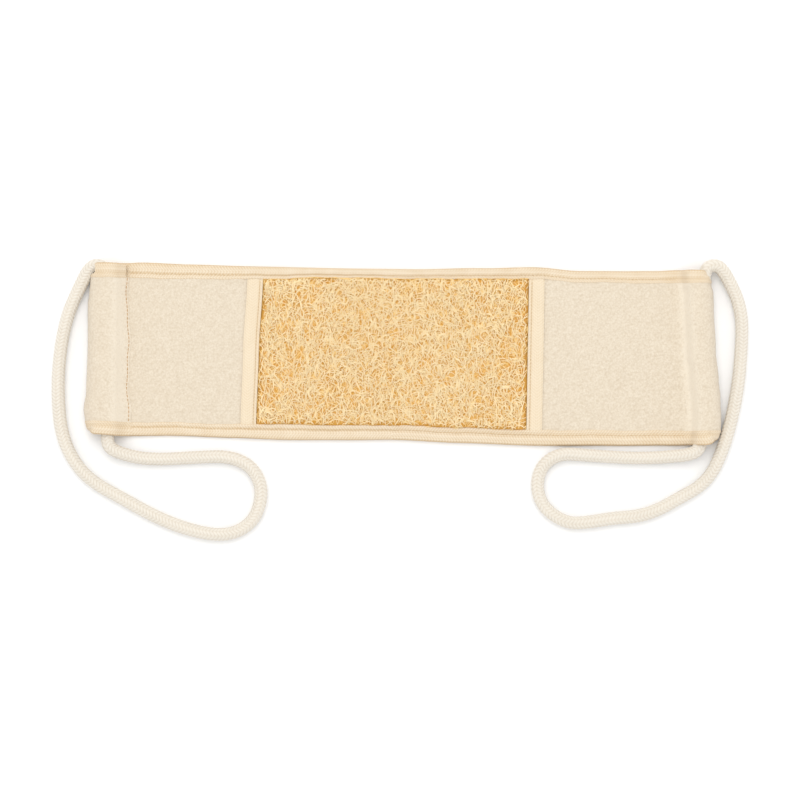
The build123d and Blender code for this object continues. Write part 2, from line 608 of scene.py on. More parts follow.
def show(name: str, mesh: Mesh, material: Material) -> Piece:
    """Puts a finished mesh in the scene, smooth all over.

    Args:
        name: The piece's name.
        mesh: Its mesh.
        material: Its only material.

    Returns:
        The piece.
    """
    made = bpy.data.objects.new(name, mesh)
    bpy.context.scene.collection.objects.link(made)
    mesh.materials.clear()
    mesh.materials.append(material)
    mesh.polygons.foreach_set("use_smooth", np.ones(len(mesh.polygons), bool))
    LOG.info("%s: %d faces", name, len(mesh.polygons))
    return made


def fix(piece: Piece, body: str, slot: str, *nodes: str) -> None:
    """Fixes a piece to one body.

    Args:
        piece: The piece.
        body: The body that it moves with.
        slot: Not used.
        *nodes: The nodes that it stands for, if any.
    """
    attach(piece, body)
    if nodes:
        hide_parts(*nodes)


def bent_grid(
    name: str,
    faces: tuple[int, int],
    place: Place,
    size: tuple[float, float] = (1.0, 1.0),
    keep: Place | None = None,
    relief: Place | None = None,
    closed: bool = False,
    flipped: bool = False,
    thickness: float = 0.0,
) -> Mesh:
    """A flat grid bent to shape.

    Args:
        name: The mesh's name.
        faces: How many faces along and across.
        place: The points for places along and across, each from 0 to 1.
        size: The length and width that the map gives, in centimetres.
        keep: Which faces stay, from the places of their middles.
        relief: A number for each point that the material reads.
        closed: True for a tube, whose seam is merged and whose ends are closed.
        flipped: True if the grid's faces would look inward.
        thickness: How thick the sheet is made, inward, or none.

    Returns:
        The mesh, with a map along and across.
    """
    shape = bmesh.new()
    bmesh.ops.create_grid(shape, x_segments=faces[0], y_segments=faces[1], size=0.5)
    if keep is not None:
        middles = np.array([face.calc_center_median() for face in shape.faces]) + 0.5
        stays = keep(middles[:, 0], middles[:, 1])
        gone = [face for face, stay in zip(shape.faces, stays) if not stay]
        bmesh.ops.delete(shape, geom=gone, context="FACES")
    mesh = bpy.data.meshes.new(name)
    shape.to_mesh(mesh)
    flat = np.zeros(len(mesh.vertices) * 3)
    mesh.vertices.foreach_get("co", flat)
    along, across = (flat.reshape(-1, 3)[:, :2] + 0.5).T
    corners = np.zeros(len(mesh.loops), np.int32)
    mesh.loops.foreach_get("vertex_index", corners)
    chart = np.stack([along[corners] * size[0], across[corners] * size[1]], axis=1)
    mesh.uv_layers.new(name="UVMap").data.foreach_set("uv", chart.ravel())
    # The materials that read this relief paint it into the colour as light and shade
    if relief is not None:
        values = np.asarray(relief(along, across), np.float32)
        mesh.attributes.new("relief", "FLOAT", "POINT").data.foreach_set("value", values)
    mesh.vertices.foreach_set("co", place(along, across).ravel())
    shape.clear()
    shape.from_mesh(mesh)
    if closed:
        bmesh.ops.remove_doubles(shape, verts=shape.verts, dist=MERGED_WITHIN)
        rims = [edge for edge in shape.edges if edge.is_boundary]
        bmesh.ops.holes_fill(shape, edges=rims, sides=0)
        bmesh.ops.recalc_face_normals(shape, faces=shape.faces)
    if flipped:
        bmesh.ops.reverse_faces(shape, faces=shape.faces)
    if thickness:
        shape.normal_update()
        bmesh.ops.solidify(shape, geom=shape.faces[:], thickness=thickness)
        for vertex in shape.verts:
            vertex.co.z = max(vertex.co.z, 0.0)
    shape.to_mesh(mesh)
    shape.free()
    mesh.set_sharp_from_angle(angle=SHARP_ANGLE)
    mesh.update()
    return mesh


def threads(name: str, lines: np.ndarray, radius: float, widths: np.ndarray | None = None) -> Mesh:
    """Many thin round threads as one mesh.

    Args:
        name: The mesh's name.
        lines: The points of each thread, as many for each.
        radius: The radius of a thread of width 1.
        widths: The width at each point, or 1 all along.

    Returns:
        The mesh of all of them, with closed ends.
    """
    data = bpy.data.curves.new(name, "CURVE")
    data.dimensions = "3D"
    data.bevel_depth = radius
    data.bevel_resolution = 0
    data.use_fill_caps = True
    data.resolution_u = 1
    if widths is None:
        widths = np.ones(lines.shape[:2])
    for line, width in zip(lines, widths):
        spline = data.splines.new("POLY")
        spline.points.add(len(line) - 1)
        spline.points.foreach_set("co", np.column_stack([line, np.ones(len(line))]).ravel())
        spline.points.foreach_set("radius", width)
    carrier = bpy.data.objects.new(name, data)
    mesh = bpy.data.meshes.new_from_object(carrier)
    bpy.data.curves.remove(data)
    mesh.name = name
    return mesh


# Places along one stitch, from its middle, and how high each of them arches, from 0 to 1
STITCH = np.linspace(-0.5, 0.5, 5)
ARCH = 1 - (2 * STITCH) ** 2


def stitches(start: float, end: float, pitch: float, length: float) -> np.ndarray:
    """Where the stitches of a row lie along it.

    Args:
        start: Where the row starts.
        end: Where it ends, further on.
        pitch: About how far apart the stitches are.
        length: The length of one stitch.

    Returns:
        The places along each stitch, one row of them for each.
    """
    number = int((end - start) / pitch)
    middles = start + (np.arange(number) + 0.5) * (end - start) / number
    return middles[:, None] + STITCH * length


# How the strap lies


@dataclass(frozen=True)
class Lay:
    """How the sewn strap settles on the floor: its edges wander, its ends slant and it ripples.

    Lengths here are in millimetres. An edge's knots are read along the strap and a slant's across it,
    and a part's say how much of its slant each place along the strap has. A corner is its edge, its end
    and its radius.
    """

    upper_edge: Knots = (
        (-198, 60.2), (-182, 61.0), (-150, 60.2), (-110, 59.7), (-40, 59.4), (5, 59.6),
        (55, 61.2), (92, 62.5), (124, 60.4), (150, 60.7), (180, 61.2), (200, 62.2),
    )
    lower_edge: Knots = (
        (-210, 59.8), (-194, 60.8), (-158, 60.0), (-115, 60.8), (-80, 61.6), (-40, 61.0),
        (-5, 60.2), (42, 61.6), (95, 62.6), (150, 61.7), (185, 60.9), (212, 60.0),
    )
    right_slant: Knots = (
        (-60, 3.4), (-42, 4.0), (-27, 3.2), (-14, 1.7), (8, -0.7),
        (35, -2.5), (44, -2.9), (51, -4.6), (60, -5.6),
    )
    left_slant: Knots = (
        (-56, 0.0), (-42, -1.7), (-30, -0.2), (0, 0.4),
        (30, -0.1), (40, 0.8), (46, 1.3), (58, 1.6),
    )
    tape_slant: Knots = ((-52, -1.2), (0, -0.2), (52, 1.9))
    right_part: Knots = ((150, 0.0), (198, 1.0))
    left_part: Knots = ((-216, 1.0), (-196, 0.0))
    tape_part: Knots = ((-150, 0.0), (-112, 1.0), (-98, 1.0), (-60, 0.0))
    corners: tuple[tuple[int, int, float], ...] = ((1, -1, 4), (-1, -1, 8), (1, 1, 6), (-1, 1, 11))
    ripple_height: float = 0.11

    def corner(self, x: np.ndarray, y: np.ndarray) -> tuple[np.ndarray, np.ndarray]:
        """Rounds the four corners of the strap's outline.

        Args:
            x: How far along the strap each point is.
            y: How far across it.

        Returns:
            Both of them, drawn in at the corners.
        """
        for across, along, radius in self.corners:
            radius = radius * MM
            past_x = along * x - (HALF_LENGTH - radius)
            past_y = across * y - (HALF_WIDTH - radius)
            inside = (past_x > 0) & (past_y > 0)
            share = np.maximum(past_x, past_y) / np.maximum(np.hypot(past_x, past_y), 1e-9)
            share = np.where(inside, share, 1)
            x = np.where(inside, along * (HALF_LENGTH - radius + past_x * share), x)
            y = np.where(inside, across * (HALF_WIDTH - radius + past_y * share), y)
        return x, y

    def settle(self, points: np.ndarray) -> np.ndarray:
        """Moves points of the straight strap to where they lie.

        Args:
            points: The points, or lines of points.

        Returns:
            As many points, moved.
        """
        straight = points.reshape(-1, 3)
        x, y = self.corner(straight[:, 0], straight[:, 1])
        x_mm, y_mm = x / MM, y / MM
        edge = np.where(y > 0, between(x_mm, self.upper_edge), between(x_mm, self.lower_edge))
        shift = between(y_mm, self.right_slant) * between(x_mm, self.right_part)
        shift = shift + between(y_mm, self.left_slant) * between(x_mm, self.left_part)
        shift = shift + between(y_mm, self.tape_slant) * between(x_mm, self.tape_part)
        ripple = np.sin(x_mm / 23 + 1.3) * np.sin(y_mm / 31 + 0.4) + np.sin(x_mm / 41 - y_mm / 37)
        lift = self.ripple_height * (ripple + 2)
        moved = (x + shift * MM, y * edge * MM / HALF_WIDTH, straight[:, 2] + lift * MM)
        return np.stack(moved, axis=1).reshape(points.shape)


LAY = Lay()


def seam_wave(y: np.ndarray) -> np.ndarray:
    """How far the turned flap's edge strays from a straight line.

    Args:
        y: Places across the strap.

    Returns:
        The distance along the strap at each of them.
    """
    y_mm = y / MM
    wave = 0.8 * np.sin(y_mm / 9.5 + 0.8) + 0.4 * np.sin(y_mm / 3.6) - 1.6 * y_mm / 55
    return wave * MM


# The cloth's outer face at each end, seen along Y, as the points that its curve follows, in millimetres.
# At the left the cloth is turned to the front over the cord, and at the right to the back.
CLOTH_CORNERS: dict[End, Knots] = {
    End.LEFT: (
        (-190.5, 3.4), (-193.0, 4.4), (-196.8, 8.8), (-200.0, 14.2), (-206.5, 17.0), (-214.2, 14.6),
        (-219.2, 9.4), (-220.6, 3.6), (-218.8, 0.4), (-212.0, 0.4), (-190.0, 0.4), (-150.0, 0.4),
        (-100.0, 0.4), (-50.0, 0.4), (-5.7, 0.4),
    ),
    End.RIGHT: (
        (-5.7, 3.1), (50.0, 3.1), (100.0, 3.1), (150.0, 3.1), (188.0, 3.1), (197.0, 3.1),
        (200.2, 4.4), (202.0, 9.4), (204.4, 14.6), (210.5, 17.2), (217.6, 13.9), (220.6, 7.5),
        (220.6, 1.4), (217.5, 0.4), (211.0, 0.4), (204.5, 0.4),
    ),
}

# How high the outer leg of each casing is cut away for the cord, at places across it, in millimetres
MOUTHS: dict[End, Knots] = {
    End.LEFT: ((48.5, 1.2), (53.5, 12.6)),
    End.RIGHT: ((53.0, 1.2), (57.0, 12.6)),
}


@dataclass
class ClothPath:
    """The line that the strap's cloth follows at one end, seen along Y, on its outer face."""

    end: End
    steps: int = 24
    points: int = 1200
    flap_reach: float = 9.0 * MM
    leg_depth: float = 9.5 * MM
    sole: float = 1.2 * MM
    line: np.ndarray = field(init=False)
    outward: np.ndarray = field(init=False)
    length: float = field(init=False)

    def __post_init__(self) -> None:
        """Works out the line, its directions and its length."""
        corners = [(x * MM, 0.0, z * MM) for x, z in CLOTH_CORNERS[self.end]]
        self.line = evenly(line_of(nurbs("cloth_path", corners, self.steps)), self.points)
        self.length = length_of(self.line)
        ahead = -self.end.value * ahead_of(self.line)
        self.outward = np.stack([ahead[:, 2], np.zeros(self.points), -ahead[:, 0]], axis=1)

    def read(self, values: np.ndarray, along: np.ndarray) -> np.ndarray:
        """Values of the line's points, read at places along it from 0 to 1."""
        where = np.clip(along, 0, 1) * (self.points - 1)
        return np.interp(where, np.arange(self.points), values)

    def x_at(self, along: np.ndarray) -> np.ndarray:
        """The x of places along the cloth."""
        return self.read(self.line[:, 0], along)

    def z_at(self, along: np.ndarray) -> np.ndarray:
        """The z of places along the cloth."""
        return self.read(self.line[:, 2], along)

    def at(self, along: np.ndarray, y: np.ndarray, out: np.ndarray | float) -> np.ndarray:
        """Points on the settled strap.

        Args:
            along: How far along the cloth, from 0 to 1.
            y: How far across the strap, from its middle line.
            out: How far outward from the cloth's outer face.

        Returns:
            The points.
        """
        x, z = self.x_at(along), self.z_at(along)
        out_x, out_z = (self.read(self.outward[:, axis], along) for axis in (0, 2))
        if self.end is End.LEFT:
            x = x + seam_wave(y) * np.exp(-along * self.length / self.flap_reach)
        return LAY.settle(np.stack([x + out * out_x, y, z + out * out_z], axis=1))

    def in_mouth(self, along: np.ndarray, y: np.ndarray) -> np.ndarray:
        """The part of the fold's outer leg that is cut away for the cord, higher near the strap's edge.

        Args:
            along: How far along the cloth, from 0 to 1.
            y: How far across the strap.

        Returns:
            True where it is cut away.
        """
        z = self.z_at(along)
        cut_top = between(y / MM, MOUTHS[self.end]) * MM
        beyond = self.end.value * self.x_at(along) > HALF_LENGTH - self.leg_depth
        return beyond & (z > self.sole) & (z < cut_top)


# Sub-assemblies


@dataclass
class HandLoop:
    """A braided cord that runs through a casing and lies in a loop beside the strap."""

    end: End
    route: Sequence[Point]
    length: float
    diameter: float = 9.0 * MM
    strand_pitch: float = 2.5 * MM
    columns: int = 8
    lean: float = 0.95
    strand_height: float = 0.6 * MM
    ring_step: float = 0.42 * MM
    around: int = 50
    swell: float = 0.015
    swell_pitch: float = 17.0 * MM
    bend_outside: float = 2.0 * MM
    bend_inside: float = 55.0 * MM
    curve_steps: int = 16
    held_points: int = 50
    path_points: int = 400
    whipping_turns: int = 17
    whipping_steps: int = 14
    whipping_thread: float = 0.4 * MM
    whipping_gap: float = 0.25 * MM

    def braid(self, along: np.ndarray, round_it: np.ndarray) -> np.ndarray:
        """The height of the strands, from 0 to 1.

        Args:
            along: Places along the cord, in metres.
            round_it: Places round the cord, from 0 to 1.

        Returns:
            The height at each place.
        """
        column = np.floor(round_it * self.columns)
        share = round_it * self.columns - column
        side = np.where(column % 2 == 0, 1.0, -1.0)
        turn = along / self.strand_pitch + side * self.lean * (share - 0.5)
        lobe = np.abs(np.sin(np.pi * turn)) ** 0.6
        return lobe * np.sin(np.pi * np.clip(share, 0.0, 1.0)) ** 0.35

    def tube(self, name: str, line: np.ndarray, material: Material) -> Piece:
        """Makes a braided tube.

        Args:
            name: The piece's name.
            line: The points along its middle.
            material: What it is made of.

        Returns:
            The piece.
        """
        length = length_of(line)
        rings = int(length / self.ring_step)
        line = evenly(line, rings + 1)
        ahead = ahead_of(line)
        side = np.zeros_like(line)
        side[0] = np.cross(ahead[0], (0.0, 0.0, 1.0))
        for index in range(1, len(line)):
            carried = side[index - 1] - ahead[index] * (side[index - 1] @ ahead[index])
            side[index] = carried / np.linalg.norm(carried)
        other = np.cross(ahead, side)

        def heights(along: np.ndarray, round_it: np.ndarray) -> np.ndarray:
            """The strands' height for places on the grid."""
            return self.braid(along * length, round_it)

        def place(along: np.ndarray, round_it: np.ndarray) -> np.ndarray:
            """Points of the tube.

            Args:
                along: Places along it, from 0 to 1.
                round_it: Places round it, from 0 to 1.

            Returns:
                The points.
            """
            ring = np.rint(along * rings).astype(int)
            angle = 2 * np.pi * round_it
            middle = self.diameter / 2 - self.strand_height * 0.8
            radius = middle + self.strand_height * heights(along, round_it % 1.0)
            radius = radius * (1 + self.swell * np.sin(along * length / self.swell_pitch))
            across = np.cos(angle)[:, None] * side[ring] + np.sin(angle)[:, None] * other[ring]
            return line[ring] + radius[:, None] * across

        size = (length / CM, np.pi * self.diameter / CM)
        mesh = bent_grid(name, (rings, self.around), place, size, relief=heights, closed=True)
        return show(name, mesh, material)

    def build(self, cotton: Material, thread: Material) -> None:
        """Makes the loop, the cord inside the casing and the whipping over its join.

        Args:
            cotton: What the cord is made of.
            thread: What the whipping is made of.
        """
        line = line_of(nurbs("cord_line", self.route, self.curve_steps))
        word = self.end.word
        loop = self.tube(f"{word}_hand_loop", line, cotton)
        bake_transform(loop)
        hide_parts(f"{word}_handle_cord")
        inner = np.array([line[-1], line[0]])
        held = self.tube(f"{word}_cord_in_casing", evenly(inner, self.held_points), cotton)
        fix(held, self.end.handle, "cord", f"{word}_cord_upper_end", f"{word}_cord_lower_end")
        self.whipping(inner.mean(axis=0), thread)

    def whipping(self, middle: np.ndarray, thread: Material) -> None:
        """Winds thread over the join of the cord's two ends.

        Args:
            middle: The middle of the cord there.
            thread: What it is made of.
        """
        node = f"{self.end.word}_cord_whipping"
        turns = self.whipping_turns
        angle = np.linspace(0, 2 * np.pi * turns, turns * self.whipping_steps)
        radius = self.diameter / 2 + self.whipping_gap
        y = np.linspace(low(node, 1), high(node, 1), len(angle))
        x, z = middle[0] + radius * np.cos(angle), middle[2] + radius * np.sin(angle)
        name = f"{node}_thread"
        coil = threads(name, np.stack([x, y, z], axis=1)[None], self.whipping_thread)
        fix(show(name, coil, thread), self.end.handle, "thread", node)


@dataclass
class StrapHalf:
    """Half of the terry strap with its casing, its bindings and the thread that holds them.

    The leaves' knots are in millimetres. The section's knots go from the tape's lip on the outer face, at
    0, to the strap's edge, at 0.5: how far across the leaf, and how far from the middle of the cloth.
    """

    end: End
    thickness: float = 2.7 * MM
    grid_step: float = 0.92 * MM
    terry_inset: float = 1.4 * MM
    pile: float = 0.2 * MM
    tuft_size: float = 1.5 * MM
    clump_size: float = 3.4 * MM
    pressed: float = 0.1 * MM
    press_inside: float = 0.6 * MM
    press_width: float = 1.6 * MM
    fold_inside: float = 1.0 * MM
    fold_outside: float = 13.0 * MM
    tape_width: float = 22.0 * MM
    tape_step: float = 1.0 * MM
    tape_faces: int = 34
    tape_stands: float = 0.35 * MM
    tape_thickness: float = 0.55 * MM
    flat_within: float = 180.0 * MM
    pucker: float = 0.07 * MM
    stitch_length: float = 2.0 * MM
    stitch_pitch: float = 2.7 * MM
    stitch_place: float = 0.33
    row_inset: float = 24.0 * MM
    row_rise: float = 0.12 * MM
    row_arch: float = 0.3 * MM
    row_thread: float = 0.26 * MM
    seam_arch: float = 0.25 * MM
    seam_thread: float = 0.22 * MM
    seam_follows: float = 0.8
    upper_leaf: Knots = (
        (-220, 10.0), (-178, 10.6), (-98, 9.0), (-48, 6.9), (0, 7.1), (80, 7.9), (130, 7.8), (200, 8.6),
    )
    lower_leaf: Knots = ((-220, 9.6), (-124, 9.2), (-84, 10.8), (-40, 10.3), (120, 10.6), (205, 10.3))
    across_leaf: Knots = ((0.0, 0.0), (0.08, 0.16), (0.16, 0.34), (0.3, 0.68), (0.42, 0.95), (0.5, 1.0))
    out_of_cloth: Knots = (
        (0.0, 0.92), (0.06, 1.03), (0.15, 0.86), (0.26, 1.04), (0.38, 0.95), (0.5, 0.0),
    )
    path: ClothPath = field(init=False)

    def __post_init__(self) -> None:
        """Works out the line that the cloth follows."""
        self.path = ClothPath(self.end)

    def fold(self, piece: Piece, slot: str, *nodes: str) -> None:
        """Bakes a piece's placement into its mesh and hides the nodes that it stands for.

        Args:
            piece: The piece.
            slot: Not used.
            *nodes: The nodes that it stands for.
        """
        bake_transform(piece)
        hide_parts(*nodes)

    def leaf(self, edge: Edge, x: np.ndarray) -> np.ndarray:
        """How wide the tape shows along an edge.

        Args:
            edge: The edge.
            x: Places along the strap.

        Returns:
            The width at each of them.
        """
        knots = self.upper_leaf if edge is Edge.UPPER else self.lower_leaf
        wave = 0.14 * np.sin(x / MM / 2.3) + 0.22 * np.sin(x / MM / 6.7 + 1 + edge.value)
        return (between(x / MM, knots) + wave) * MM

    def raised(self, x: np.ndarray) -> np.ndarray:
        """How far the front of the tape is raised by the pad's edge under it.

        Args:
            x: Places along the strap.

        Returns:
            The height at each of them.
        """
        left, right = FOLD[End.LEFT] / MM, FOLD[End.RIGHT] / MM
        knots = ((left - 5, 0.0), (left + 4, 1.0), (right - 4, 1.0), (right + 5, 0.0))
        return between(x / MM, knots) * (CENTRE_FRONT - FRONT)

    def terry(self, material: Material) -> None:
        """Makes the terry strip, turned over the cord at its end.

        Args:
            material: What it is made of.
        """
        word = self.end.word
        half = HALF_WIDTH - self.terry_inset
        faces = (int(self.path.length / self.grid_step), int(2 * half / self.grid_step))

        def lumpy(along: np.ndarray, across: np.ndarray) -> np.ndarray:
            """The pile's height.

            Args:
                along: Places along the cloth, from 0 to 1.
                across: Places across it, from 0 to 1.

            Returns:
                The height, from about -1 to 1.
            """
            x = along * self.path.length * -self.end.value
            flat = np.stack([x, across * 2 * half, np.zeros(len(along))], axis=1)
            return lumps(flat, self.tuft_size) + 0.3 * lumps(flat, self.clump_size, 7.0)

        def place(along: np.ndarray, across: np.ndarray) -> np.ndarray:
            """Points on the outer face, pressed flat under the tapes.

            Args:
                along: Places along the cloth, from 0 to 1.
                across: Places across it, from 0 to 1.

            Returns:
                The points.
            """
            x, y = self.path.x_at(along), (across * 2 - 1) * half
            leaf = np.where(y > 0, self.leaf(Edge.UPPER, x), self.leaf(Edge.LOWER, x))
            past_lip = np.abs(y) - (HALF_WIDTH - leaf)
            under = np.clip((past_lip + self.press_inside) / self.press_width, 0, 1)
            out = self.pile * lumpy(along, across) * (1 - under) - self.pressed * under
            return self.path.at(along, y, out)

        def keep(along: np.ndarray, across: np.ndarray) -> np.ndarray:
            """Leaves out the leg of the fold at the casing's mouth."""
            return ~self.path.in_mouth(along, (across * 2 - 1) * half)

        def relief(along: np.ndarray, across: np.ndarray) -> np.ndarray:
            """The pile's height as the material reads it, with a band of painted light in the casing's
            valley that paints out the shade of its slope.

            Args:
                along: Places along the cloth, from 0 to 1.
                across: Places across it, from 0 to 1.

            Returns:
                The number for each of them.
            """
            from_valley = np.abs(self.path.x_at(along)) - VALLEY_X[self.end]
            # Painted light: a pale band along each casing's valley
            pale = np.exp(-((from_valley / VALLEY_LIGHT_WIDTH) ** 2)) * (self.path.z_at(along) > FRONT)
            return 0.5 + 0.5 * lumpy(along, across) + 0.9 * pale

        size = (self.path.length / CM, 2 * half / CM)
        options = {"keep": keep, "relief": relief, "flipped": self.end is End.LEFT}
        mesh = bent_grid(f"{word}_terry", faces, place, size, thickness=self.thickness, **options)
        made = show(f"{word}_terry_strip", mesh, material)
        ends = {
            End.LEFT: ("left_terry_panel", "left_casing_flap"),
            End.RIGHT: ("right_terry_panel", "right_casing_roll", "right_casing_flap"),
        }
        self.fold(made, "terry", "centre_terry_backing", *ends[self.end])

    def section(self, share: np.ndarray) -> tuple[np.ndarray, np.ndarray]:
        """The tape's section, from its lip on the outer face round the edge to its other lip.

        Args:
            share: Places round the section, from 0 to 1.

        Returns:
            How far across the leaf, 0 at the lip and 1 at the strap's edge, and how far from the middle
            of the cloth, 1 at the outer face and -1 at the inner one.
        """
        folded = np.where(share > 0.5, 1 - share, share)
        lift = between(folded, self.out_of_cloth)
        return between(folded, self.across_leaf), np.where(share > 0.5, -lift, lift)

    def binding(self, edge: Edge, material: Material) -> None:
        """Makes the tape folded round one long edge, over the casing too.

        Args:
            edge: The edge.
            material: What it is made of.
        """
        word = self.end.word
        half = self.thickness / 2 + self.tape_stands

        def y_at(along: np.ndarray, share: np.ndarray) -> np.ndarray:
            """How far across the strap places on the grid are."""
            leaf = self.leaf(edge, self.path.x_at(along))
            return edge.value * (HALF_WIDTH - leaf * (1 - self.section(share)[0]))

        def place(along: np.ndarray, share: np.ndarray) -> np.ndarray:
            """Points on the tape.

            Args:
                along: Places along it, from 0 to 1.
                share: Places round its section, from 0 to 1.

            Returns:
                The points.
            """
            x = self.path.x_at(along)
            across, lift = self.section(share)
            front = lift < 0 if self.end is End.LEFT else lift > 0
            flat_part = np.abs(x) < self.flat_within
            out = -self.thickness / 2 + half * lift
            out = out + np.where(front & flat_part, np.sign(lift) * self.raised(x) * np.abs(lift), 0)
            pucker = self.pucker * np.sin(x * 2 * np.pi / self.stitch_pitch)
            out = out + pucker * np.sign(lift) * (across < 0.4) * flat_part
            return self.path.at(along, y_at(along, share), out)

        def keep(along: np.ndarray, share: np.ndarray) -> np.ndarray:
            """Leaves out the leg of the fold at the casing's mouth."""
            return ~self.path.in_mouth(along, y_at(along, share))

        def relief(along: np.ndarray, share: np.ndarray) -> np.ndarray:
            """Low in the stitched groove and high beside it; the tape's material paints the low part as
            shade.
            """
            return (self.section(share)[1] * np.sign(0.5 - share) - 0.75) / 0.3

        faces = (int(self.path.length / self.tape_step), self.tape_faces)
        size = (self.path.length / CM, self.tape_width / CM)
        options = {"keep": keep, "relief": relief, "flipped": self.end.value * edge.value < 0}
        name = f"{edge.word}_{word}_tape"
        mesh = bent_grid(name, faces, place, size, thickness=self.tape_thickness, **options)
        made = show(f"{word}_{edge.word}_edge_tape", mesh, material)
        casing = "flap" if self.end is End.LEFT else "roll"
        nodes = (f"{word}_{edge.word}_binding", f"{word}_{edge.word}_{casing}_binding")
        self.fold(made, "tape", f"{edge.word}_centre_binding", *nodes)

    def stitching(self, edge: Edge, material: Material) -> None:
        """Sews the row of stitches along a binding.

        Args:
            edge: The edge that it is on.
            material: The thread.
        """
        word = self.end.word
        start, stop = sorted((MIDDLE_X, self.end.value * (HALF_LENGTH - self.row_inset)))
        x = stitches(start, stop, self.stitch_pitch, self.stitch_length)
        y = edge.value * (HALF_WIDTH - self.leaf(edge, x) * (1 - self.stitch_place))
        z = FRONT + self.raised(x) + self.row_rise + self.row_arch * ARCH
        lines = LAY.settle(np.stack([x, y, z], axis=2))
        widths = np.tile(1 - 0.5 * np.abs(2 * STITCH) ** 3, (len(lines), 1))
        mesh = threads(f"{word}_{edge.word}_thread", lines, self.row_thread, widths)
        made = show(f"{word}_{edge.word}_stitching_row", mesh, material)
        self.fold(made, "thread", f"{word}_{edge.word}_stitching", f"{edge.word}_centre_stitching")

    def casing_seam(self, material: Material) -> None:
        """Sews the row of stitches that closes the casing, sunk in the pile.

        Args:
            material: The thread.
        """
        word = self.end.word
        y = stitches(-FIELD_EDGE, FIELD_EDGE, self.stitch_pitch, self.stitch_length)
        wave = seam_wave(y) * self.seam_follows if self.end is End.LEFT else 0 * y
        x = SEAM_X[self.end] - SEAM_INSET[self.end] + wave
        z = np.broadcast_to(FRONT + SEAM_RISE[self.end] + self.seam_arch * ARCH, y.shape)
        mesh = threads(f"{word}_seam_thread", LAY.settle(np.stack([x, y, z], axis=2)), self.seam_thread)
        made = show(f"{word}_casing_stitching", mesh, material)
        fix(made, self.end.wing, "thread", f"{word}_casing_seam")

    def build(
        self, terry: Material, tape: Material, edge_thread: Material, seam_thread: Material
    ) -> None:
        """Makes every piece of this half.

        Args:
            terry: What the strip is made of.
            tape: What its bindings are made of.
            edge_thread: The thread that holds them.
            seam_thread: The thread that closes the casing.
        """
        self.terry(terry)
        for edge in Edge:
            self.binding(edge, tape)
            self.stitching(edge, edge_thread)
        self.casing_seam(seam_thread)


@dataclass
class BarTacks:
    """Close zigzag stitches that hold the two corners of the turned flap."""

    turns: int = 15
    width: float = 1.6 * MM
    length: float = 8.0 * MM
    thickness: float = 0.24 * MM
    edge_inset: float = 1.5 * MM
    seam_inset: float = 1.4 * MM
    rise: float = 2.35 * MM
    wave: float = 0.15 * MM

    def build(self, material: Material) -> None:
        """Makes both tacks as one piece.

        Args:
            material: The thread.
        """
        places = np.linspace(0, 1, self.turns)
        side = np.where(np.arange(self.turns) % 2 == 0, 1.0, -1.0)
        x = SEAM_X[End.LEFT] - self.seam_inset + side * self.width / 2
        z = FRONT + self.rise + self.wave * np.sin(places * 9)
        inset = self.edge_inset + places * self.length
        lines = np.array([np.stack([x, edge.value * (HALF_WIDTH - inset), z], axis=1) for edge in Edge])
        mesh = threads("tack_thread", LAY.settle(lines), self.thickness)
        fix(show("flap_bar_tacks", mesh, material), End.LEFT.wing, "thread", "left_bar_tacks")


